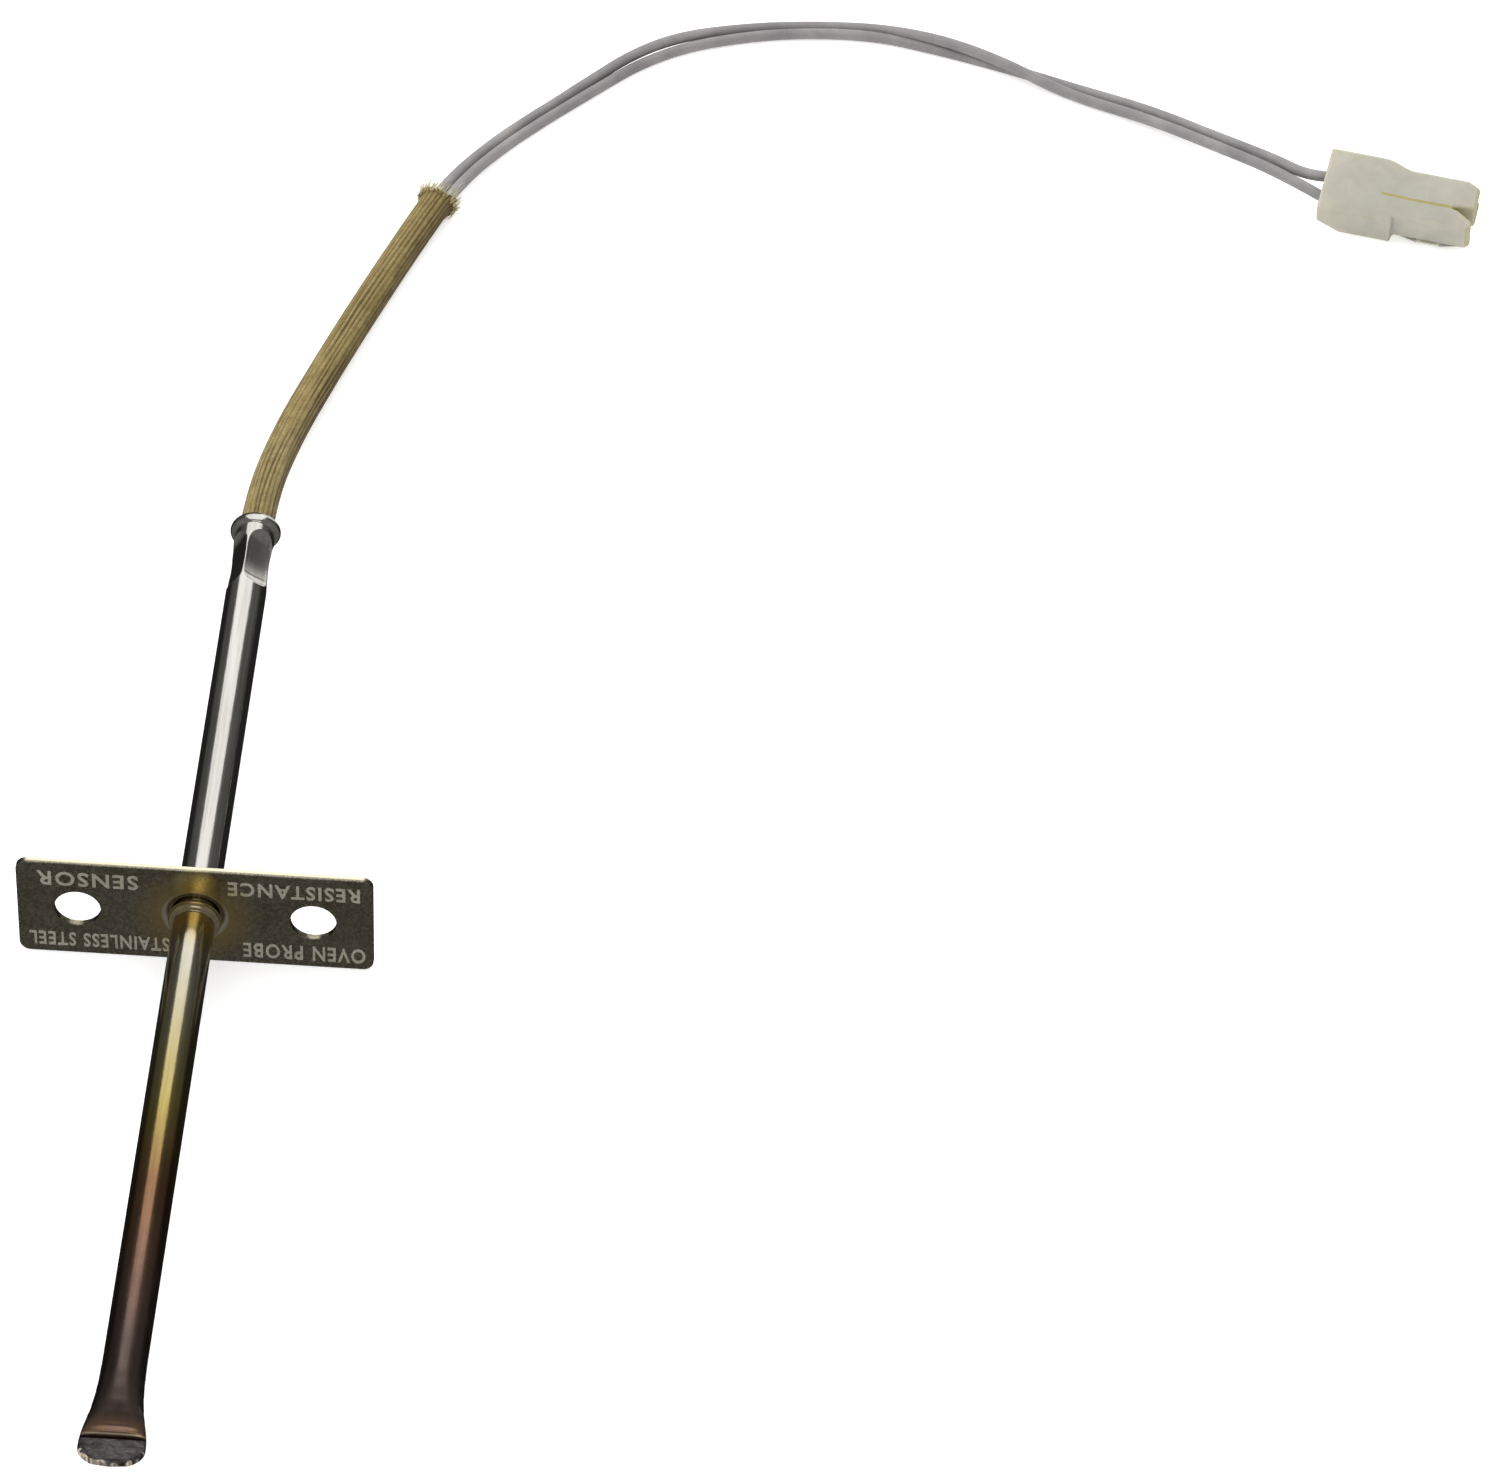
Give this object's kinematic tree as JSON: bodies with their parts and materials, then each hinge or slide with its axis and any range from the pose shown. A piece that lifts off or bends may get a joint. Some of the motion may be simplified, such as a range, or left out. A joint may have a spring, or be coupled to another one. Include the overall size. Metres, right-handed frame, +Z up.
{
  "type": "oven temperature sensor probe",
  "caption": "Closed steel probe tube with a flattened tip, a screw flange, a crimped rear end, two leads in a braided sleeve and a small two-way plug.",
  "frame": {"origin": "on the probe tube's axis, at the flange's rear face, midway between its two screw holes", "axes": "+Y along the tube towards the leads and plug, so the tip is at -Y; +X along the flange; +Z up. The probe lies on the flange's long edge, at Z = -7 mm"},
  "size_m": [0.1672, 0.256, 0.014],
  "materials": {
    "stainless_tube": "polished, heat tinted towards the tip",
    "flange_steel": "dark satin with a fine grain",
    "glass_braid": "varnished glass-fibre braid, matt",
    "lead_insulation": "off-white, low sheen",
    "nickel_strand": "stranded, dull",
    "plug_nylon": "natural nylon, slightly translucent",
    "contact_metal": "tinned brass, satin",
    "alumina": "fired, matt",
    "glaze": "fired glass glaze, glossy",
    "nickel_wire": "drawn, satin",
    "cement": "cured ceramic cement, matt"
  },
  "bodies": {
    "root": {"probe_sheath": "stainless_tube", "mounting_flange": "flange_steel", "braided_sleeve": "glass_braid", "lead_jacket_a": "lead_insulation", "lead_jacket_b": "lead_insulation", "lead_core_a": "nickel_strand", "lead_core_b": "nickel_strand", "connector_housing": "plug_nylon", "terminal_a": "contact_metal", "terminal_b": "contact_metal", "rtd_substrate": "alumina", "rtd_glass_cover": "glaze", "lead_bond_glaze": "glaze", "element_lead_a": "nickel_wire", "element_lead_b": "nickel_wire", "tip_filler": "cement", "insulator_bead_1": "alumina", "insulator_bead_2": "alumina", "insulator_bead_3": "alumina", "insulator_bead_4": "alumina", "splice_barrel_a": "nickel_wire", "splice_barrel_b": "nickel_wire", "splice_sleeve_a": "glass_braid", "splice_sleeve_b": "glass_braid"}
  },
  "joints": []
}
